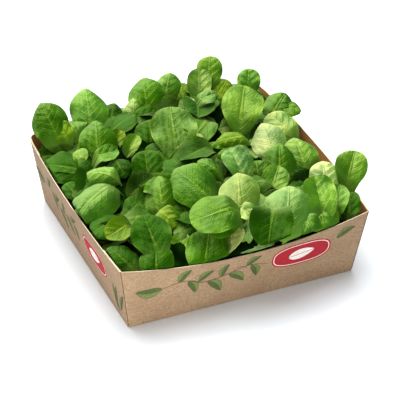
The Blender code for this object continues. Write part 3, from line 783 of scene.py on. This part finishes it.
def smooth_line(points, n=10):
    """Points along a smooth curve through the given ones."""
    p = [np.array(q, float) for q in points]
    p = [2 * p[0] - p[1]] + p + [2 * p[-1] - p[-2]]
    found = []
    for k in range(1, len(p) - 2):
        for i in range(n):
            t = i / n
            found.append(0.5 * ((2 * p[k]) + (p[k + 1] - p[k - 1]) * t
                                + (2 * p[k - 1] - 5 * p[k] + 4 * p[k + 1] - p[k + 2]) * t * t
                                + (3 * p[k] - p[k - 1] - 3 * p[k + 1] + p[k + 2]) * t**3))
    found.append(p[-2])
    return np.array(found)


def ribbon(ink, wall, points, width, taper=0.3):
    """A drawn line that thins towards its ends."""
    line = smooth_line(points)
    direction = np.gradient(line, axis=0)
    direction /= np.maximum(np.linalg.norm(direction, axis=1, keepdims=True), 1e-9)
    normal = np.stack([-direction[:, 1], direction[:, 0]], -1)
    t = np.linspace(0, 1, len(line))
    half = (width / 2 * (taper + (1 - taper) * np.sin(math.pi * np.clip(t * 0.9 + 0.1, 0, 1))))[:, None]
    ink.strip(wall, (line + normal * half).tolist(), (line - normal * half).tolist())


def drawn_leaf(inks, wall, x, h, angle, length, width, bend=0.12):
    """A drawn leaf: a light and a dark half, an outline, a midrib and side veins."""
    a = math.radians(angle)
    along = np.array([math.cos(a), math.sin(a)])
    side = np.array([-along[1], along[0]])
    t = np.linspace(0, 1, 15)
    bulge = bend * length * np.sin(math.pi * t)
    middle = np.array([x, h]) + along * (t * length)[:, None] + side * bulge[:, None]
    half = (width / 2 * np.sin(math.pi * t**0.85) ** 0.8)[:, None]
    upper, lower = middle + side * half, middle - side * half
    inks["light"].strip(wall, upper.tolist(), middle.tolist())
    inks["deep"].strip(wall, middle.tolist(), lower.tolist())
    for line, sign in ((upper, 1), (lower, -1)):
        inks["line"].strip(wall, (line + side * 0.12 * sign).tolist(), (line - side * 0.16 * sign).tolist())
    inks["line"].strip(wall, (middle + side * 0.14).tolist(), (middle - side * 0.14).tolist())
    for k in (3, 5, 7, 9, 11):
        for line in (upper, lower):
            tip = line[k + 2] * 0.82 + middle[k + 2] * 0.18
            both = np.array([middle[k], tip])
            inks["line"].strip(wall, (both + side * 0.08).tolist(), (both - side * 0.08).tolist())


def curl(ink, wall, x, h, turn, size):
    """A small tendril that winds up at its end."""
    points = []
    for k in range(9):
        a = turn * (math.pi * 0.3 + k * 0.62)
        r = size * (1 - k / 11)
        height = h + turn * size * 0.2 + r * (1 - math.cos(a)) * 0.5
        points.append((x + r * math.sin(a) * 0.9 + size * 0.1 * k, height))
    ribbon(ink, wall, points, 0.42)


def label(inks, wall, x, h, width, height):
    """A plain round-ended label with a pale line inside its edge and a small white leaf."""
    def oval(wide, high):
        a = np.linspace(math.pi, 0, 40)
        c = np.sign(np.cos(a)) * np.abs(np.cos(a)) ** 0.75
        s = np.abs(np.sin(a)) ** 0.75
        return x + wide / 2 * c, high / 2 * s

    xs, hs = oval(width, height)
    inks["red"].strip(wall, list(zip(xs, h + hs)), list(zip(xs, h - hs)))
    for sign in (1, -1):
        x1, h1 = oval(width - 2.2, height - 2.2)
        x2, h2 = oval(width - 3.4, height - 3.4)
        inks["white"].strip(wall, list(zip(x1, h + sign * h1)), list(zip(x2, h + sign * h2)))
    t = np.linspace(0, 1, 15)
    size = height * 0.95
    middle = np.stack([x - size / 2 + t * size, h - 1.2 + 2.4 * t], -1)
    half = (height * 0.21 * np.sin(math.pi * t**0.8) ** 0.8)[:, None] * np.array([[-0.1, 1.0]])
    gap = np.array([[0.0, 0.25]])
    inks["white"].strip(wall, (middle + half + gap).tolist(), (middle + gap).tolist())
    inks["white"].strip(wall, (middle - gap).tolist(), (middle - half - gap).tolist())


def print_design(inks):
    """Vines, single leaves and two labels. The back and right walls carry the vine alone."""
    def vine(wall, start, points, leaves, curls):
        shift = [(start + x, h) for x, h in points]
        ribbon(inks["brown"], wall, shift, 0.9, 0.5)
        for x, h, angle, length, width in leaves:
            drawn_leaf(inks, wall, start + x, h, angle, length, width)
        for x, h, turn, size in curls:
            curl(inks["brown"], wall, start + x, h, turn, size)

    # Each leaf is (along, height, angle, length, width), each tendril (along, height, turn, size)
    stem = [(0, 29), (16, 32), (30, 27), (46, 29), (62, 33), (76, 30)]
    leaves = [(1, 29, 175, 19, 8.5), (12, 31.5, 50, 13, 6), (19, 31.5, -65, 14, 6.5),
              (26, 28.5, 35, 13, 5.5), (33, 27, -50, 16, 7), (42, 28, 65, 12, 5.5),
              (48, 29, -40, 15, 6.5), (60, 33, 30, 12, 5.5), (64, 33, -70, 13, 6), (75, 30, 10, 11, 5)]
    curls = [(23, 30, 1, 5), (55, 31, -1, 5)]
    vine("front", -61, stem, leaves[:9], curls)
    vine("right", -38, stem, leaves, curls)
    vine("back", -38, stem, leaves, curls)
    vine("left", -64, stem, leaves[:9], curls)
    label(inks, "front", 40, 31, 44, 20)
    label(inks, "left", 38, 31, 40, 20)
    drawn_leaf(inks, "front", 66, 36, 25, 15, 6)
    for x, h, angle in ((68, 8, 75), (71, 6, 100), (74, 9, 60)):
        drawn_leaf(inks, "left", x, h, angle, 22, 4.5, 0.06)


# Materials


class Nodes:
    """Short hand for wiring a material."""

    def __init__(self, name):
        self.mat = bpy.data.materials.new(name)
        self.mat.use_nodes = True
        self.tree = self.mat.node_tree
        self.shader = self.tree.nodes["Principled BSDF"]
        self.out = self.tree.nodes["Material Output"]

    def add(self, kind, values=None, **settings):
        node = self.tree.nodes.new(kind)
        for key, value in settings.items():
            setattr(node, key, value)
        for key, value in (values or {}).items():
            if isinstance(value, bpy.types.NodeSocket):
                self.tree.links.new(value, node.inputs[key])
            else:
                node.inputs[key].default_value = value
        return node

    def link(self, out, into):
        self.tree.links.new(out, into)

    def math(self, operation, a, b=0.0):
        return self.add("ShaderNodeMath", {0: a, 1: b}, operation=operation).outputs[0]

    def mix(self, factor, a, b, blend="MIX"):
        node = self.add("ShaderNodeMix", {"Factor": factor}, data_type="RGBA", blend_type=blend)
        for key, value in ((6, a), (7, b)):
            if isinstance(value, bpy.types.NodeSocket):
                self.link(value, node.inputs[key])
            else:
                node.inputs[key].default_value = (*value, 1.0)
        return node.outputs[2]

    def ramp(self, value, low, high, to_low=0.0, to_high=1.0):
        """Goes smoothly from to_low to to_high while the value goes from low to high."""
        values = {"Value": value, "From Min": low, "From Max": high, "To Min": to_low, "To Max": to_high}
        return self.add("ShaderNodeMapRange", values, interpolation_type="SMOOTHSTEP").outputs[0]

    def noise(self, where, scale, detail, **more):
        values = {"Vector": where, "Scale": scale, "Detail": detail, **more}
        return self.add("ShaderNodeTexNoise", values).outputs["Fac"]

    def times(self, colour, rgb):
        """A colour darkened or lightened in each of its three parts."""
        return self.mix(1.0, colour, rgb, "MULTIPLY")

    def facing(self, normal, way):
        """How much a normal looks this way."""
        both = self.add("ShaderNodeVectorMath", {0: normal, 1: way}, operation="DOT_PRODUCT")
        return both.outputs["Value"]

    def bump(self, height, strength, distance):
        """Gives the surface a relief, and hands on the bent normal."""
        values = {"Strength": strength, "Distance": distance, "Height": height}
        normal = self.add("ShaderNodeBump", values).outputs[0]
        self.link(normal, self.shader.inputs["Normal"])
        return normal

    def attribute(self, name, output):
        return self.add("ShaderNodeAttribute", attribute_name=name).outputs[output]

    def colour(self, out):
        self.link(out, self.shader.inputs["Base Color"])

    def constant(self, name, value):
        self.shader.inputs[name].default_value = value


def leaf_veins(n, vein, down):
    """Side veins, midrib and the fine net between them, each from 0 to 1."""
    parts = n.add("ShaderNodeSeparateXYZ", {0: vein})
    along = n.math("MULTIPLY", parts.outputs[0], UV_MM)
    off = n.math("ABSOLUTE", n.math("MULTIPLY", parts.outputs[1], UV_MM))
    wander = n.math("MULTIPLY", n.math("SUBTRACT", n.noise(vein, 16.0, 2.0), 0.5), 3.0)
    arch = n.math("MULTIPLY", n.math("POWER", off, VEIN_CURVE), VEIN_SLANT)
    course = n.math("ADD", n.math("SUBTRACT", along, arch), wander)
    wave = n.math("SUBTRACT", n.math("FRACT", n.math("DIVIDE", course, VEIN_STEP)), 0.5)
    side_vein = n.ramp(n.math("ABSOLUTE", wave), 0.0, 0.09, 1.0, 0.0)
    side_vein = n.math("MULTIPLY", side_vein, n.ramp(off, 2.0, 12.0, 1.0, 0.15))
    rib_width = n.math("ADD", n.math("MULTIPLY", n.math("MULTIPLY", down, down), 4.2), 0.4)
    rib = n.ramp(n.math("DIVIDE", off, rib_width), 0.35, 1.3, 1.0, 0.0)
    rib = n.math("MULTIPLY", rib, n.ramp(down, 0.0, 0.35, 0.35, 1.0))
    net = n.add("ShaderNodeTexVoronoi", {"Vector": vein, "Scale": 42.0}, feature="DISTANCE_TO_EDGE")
    return side_vein, rib, n.ramp(net.outputs["Distance"], 0.0, 0.16, 1.0, 0.0)


def leaf_relief(n, vein, under, side_vein, rib, net):
    """Height of the skin: its veins are sunk on the upper side and stand out on the underside."""
    relief = n.math("ADD", rib, n.math("MULTIPLY", net, 0.2))
    relief = n.math("ADD", n.math("MULTIPLY", side_vein, 0.5), relief)
    relief = n.math("MULTIPLY", relief, n.math("SUBTRACT", n.math("MULTIPLY", under, 2.0), 1.0))
    return n.math("ADD", relief, n.math("MULTIPLY", n.noise(vein, 15.0, 1.0), 1.3))


def leaf_tone(n, vein, down, side_vein, rib, net):
    """The leaf's own tone in soft patches, with pale veins and stalk, and a pale rim that is partly the
    margin's own tone and partly a painted highlight where light catches the edge.
    """
    tone = n.attribute("tone", "Vector")
    patch = n.ramp(n.noise(vein, 7.0, 3.0), 0.3, 0.7)
    colour = n.mix(patch, n.times(tone, (0.74, 0.9, 0.7)), n.times(tone, (1.85, 1.62, 1.3)))
    pale = n.mix(0.3, n.times(tone, (2.6, 1.9, 2.0)), (0.34, 0.48, 0.05))
    for amount, share in ((net, 0.06), (side_vein, 0.19), (rib, 0.75)):
        colour = n.mix(n.math("MULTIPLY", amount, share), colour, pale)
    stalk = n.ramp(down, 0.42, 0.76)
    colour = n.mix(n.math("MULTIPLY", stalk, 0.75), colour, (0.40, 0.53, 0.15))
    # Pale rim: partly the margin's own tone, partly a painted edge highlight
    return n.mix(n.math("MULTIPLY", n.attribute("rim", "Fac"), 0.4), colour, pale)


def paint_leaf_shade_and_sheen(n, colour, normal, vein, painted_sheen_share):
    """Painted shade where the leaf looks away from the light, and a painted pale sheen where it looks up.
    """
    along_leaf = n.add("ShaderNodeMapping", {"Vector": vein, "Scale": (9.0, 38.0, 1.0)}).outputs[0]
    sheen_streak = n.math("SUBTRACT", n.noise(along_leaf, 1.0, 2.0), 0.5)
    facing = n.math("ADD", n.facing(normal, PAINTED_LIGHT_FACING), n.math("MULTIPLY", sheen_streak, 0.42))
    lit = n.ramp(n.math("MAXIMUM", facing, n.facing(normal, PAINTED_BACKLIGHT_FACING)), 0.46, 0.9)
    # Painted shade: darker where the skin looks away from both painted light directions
    colour = n.mix(lit, n.times(colour, (0.3, 0.46, 0.2)), colour)
    # Painted sheen: a pale whitish green, strongest where the skin looks up towards the left and back
    frosted = n.mix(0.6, n.times(colour, (2.2, 1.7, 1.8)), (0.29, 0.47, 0.16))
    return n.mix(n.math("MULTIPLY", n.ramp(facing, 0.64, 1.0), painted_sheen_share), colour, frosted)


def leaf_material(name, gloss):
    """Leaf skin: its own tone, pale midrib and side veins, puckered between them, a little see-through."""
    n = Nodes(name)
    vein = n.add("ShaderNodeUVMap", uv_map="vein").outputs[0]
    facts = n.add("ShaderNodeSeparateXYZ", {0: n.attribute("facts", "Vector")})
    under, down, painted_sheen_share = facts.outputs[0], facts.outputs[1], facts.outputs[2]
    veins = leaf_veins(n, vein, down)
    normal = n.bump(leaf_relief(n, vein, under, *veins), 0.55, 0.0006)
    # Painted shade and painted sheen, set by the way the skin faces
    colour = paint_leaf_shade_and_sheen(n, leaf_tone(n, vein, down, *veins), normal, vein, painted_sheen_share)
    n.colour(colour)
    rough = n.ramp(n.noise(vein, 11.0, 2.0), 0.3, 0.7, gloss - 0.07, gloss + 0.09)
    n.link(n.math("ADD", rough, n.math("MULTIPLY", under, 0.16)), n.shader.inputs["Roughness"])
    n.constant("Specular IOR Level", 0.1)
    n.constant("Specular Tint", (0.66, 0.87, 0.15, 1))
    glow = {"Color": n.times(colour, (1.5, 1.35, 0.4)), "Normal": normal}
    through = n.add("ShaderNodeBsdfTranslucent", glow)
    both = n.add("ShaderNodeMixShader", {0: 0.16, 1: n.shader.outputs[0], 2: through.outputs[0]})
    n.link(both.outputs[0], n.out.inputs["Surface"])
    return n.mat


def core_material():
    """Leaf stuff deep in the heap, painted near black as the shade there, each packed leaf painted darker
    towards its edges.
    """
    n = Nodes("packed_leaves_painted_shade")
    where = n.add("ShaderNodeTexCoord").outputs["Object"]
    grain = n.noise(where, 70.0, 4.0)
    leaves = n.add("ShaderNodeTexVoronoi", {"Vector": where, "Scale": 85.0})
    which = n.add("ShaderNodeSeparateXYZ", {0: leaves.outputs["Color"]}).outputs[0]
    # Painted shade: each packed leaf is lit in its middle and darker towards its edges, and the gaps are
    # near black
    middle = n.ramp(leaves.outputs["Distance"], 0.1, 0.62, 1.0, 0.0)
    lit = n.math("MULTIPLY", middle, n.ramp(which, 0.0, 1.0, 0.3, 1.0))
    green = n.mix(n.ramp(grain, 0.35, 0.65), (0.008, 0.035, 0.002), (0.022, 0.08, 0.005))
    n.colour(n.mix(lit, (0.002, 0.008, 0.001), green))
    n.constant("Roughness", 0.9)
    n.constant("Specular IOR Level", 0.0)
    n.bump(n.math("ADD", lit, n.math("MULTIPLY", grain, 0.4)), 0.9, 0.004)
    return n.mat


def card_material(name, base, dark, light, strength=0.35):
    """Card with flecks, fibres and faint clouding, in linear tones."""
    n = Nodes(name)
    where = n.add("ShaderNodeTexCoord").outputs["Object"]
    cloud = n.noise(where, 45.0, 3.0)
    fleck = n.noise(where, 620.0, 3.0, Roughness=0.7)
    spot = n.add("ShaderNodeTexVoronoi", {"Vector": where, "Scale": 330.0}).outputs["Distance"]
    stretch = {"Vector": where, "Scale": (1.0, 1.0, 5.0), "Rotation": (0.3, 0.2, 0.0)}
    fibre = n.noise(n.add("ShaderNodeMapping", stretch).outputs[0], 240.0, 2.0)
    colour = n.mix(n.ramp(fleck, 0.4, 0.68, 0.0, 0.75), base, dark)
    colour = n.mix(n.ramp(spot, 0.0, 0.3, 0.5, 0.0), colour, light)
    colour = n.mix(n.ramp(fibre, 0.5, 0.75, 0.0, 0.35), colour, light)
    n.colour(n.mix(n.ramp(cloud, 0.3, 0.7, 0.0, 0.35), colour, dark))
    n.constant("Roughness", 0.82)
    n.constant("Specular IOR Level", 0.3)
    n.bump(n.math("ADD", fleck, n.math("MULTIPLY", fibre, 0.7)), strength, 0.0002)
    return n.mat


def ink_material(name, rgb, cover):
    """Ink on kraft: the card's flecks show through it."""
    base = linear(rgb)
    thin = base * cover + linear(KRAFT_THROUGH_INK) * (1 - cover)
    return card_material(name, base, base * 0.72, thin, 0.2)


# Build

card = {name: card_material(name, *map(linear, tones)) for name, tones in CARDS.items()}
slit_shade = card_material("corner_slit_painted_shade", *CORNER_SLIT_SHADE)
tray = tray_object([card["kraft_card"], card["cut_edge"], card["card_inside"], slit_shade, card["dark_corner"]])
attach(tray, "root")
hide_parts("tray")

inks = {key: Ink(piece, lift, ink_material(name, rgb, cover))
        for key, (piece, lift, name, rgb, cover) in INKS.items()}
print_design(inks)
for ink in inks.values():
    piece = ink.make()
    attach(piece, "root")

leaf_skin = leaf_material("leaf_skin", 0.3)
core = core_object(core_material())
shown = leaves_object("leaves_on_top", LEAVES + far_side_leaves(), 30, 18, 3, leaf_skin)
below = leaves_object("leaves_between", under_leaves(), 16, 8, 9, leaf_skin)
for piece in (core, shown, below):
    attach(piece, "root")
    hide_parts("salad_leaves")

# Floor, light and camera


def floor():
    bpy.ops.mesh.primitive_plane_add(size=FLOOR_SIZE, location=(0, 0, 0))
    plane = bpy.context.object
    plane.name = "floor"
    n = Nodes("pale_floor")
    n.constant("Base Color", FLOOR_TONE)
    n.constant("Roughness", 0.9)
    plane.data.materials.append(n.mat)


def lamp(name, place, target, size, power):
    data = bpy.data.lights.new(name, "AREA")
    data.energy = power
    data.size = size
    obj = bpy.data.objects.new(name, data)
    bpy.context.scene.collection.objects.link(obj)
    obj.location = place
    obj.rotation_euler = (Vector(target) - Vector(place)).to_track_quat("-Z", "Y").to_euler()


def world():
    """Even white light all round, and colours shown as they come."""
    studio = bpy.data.worlds.new("studio")
    bpy.context.scene.world = studio
    studio.use_nodes = True
    background = studio.node_tree.nodes["Background"]
    background.inputs["Color"].default_value = (1, 1, 1, 1)
    background.inputs["Strength"].default_value = WORLD_STRENGTH
    bpy.context.scene.view_settings.view_transform = "Standard"


def camera():
    """The photo's camera: from the front left and above, far off, with the tray a little off the middle."""
    az, el = math.radians(CAMERA_AZIMUTH), math.radians(CAMERA_ELEVATION)
    back = Vector((math.sin(az) * math.cos(el), -math.cos(az) * math.cos(el), math.sin(el)))
    right = (-back).cross(Vector((0, 0, 1))).normalized()
    up = right.cross(-back)
    data = bpy.data.cameras.new("camera")
    data.sensor_width = SENSOR_MM
    data.lens = LENS_SHARE * SENSOR_MM
    obj = bpy.data.objects.new("camera", data)
    bpy.context.scene.collection.objects.link(obj)
    at = back * CAMERA_DISTANCE + right * CAMERA_RIGHT + up * CAMERA_UP
    obj.matrix_world = Matrix.Translation(at) @ Matrix((right, up, back)).transposed().to_4x4()
    bpy.context.scene.camera = obj


floor()
for name, (place, target, size, power) in LAMPS.items():
    lamp(name, place, target, size, power)
world()
camera()
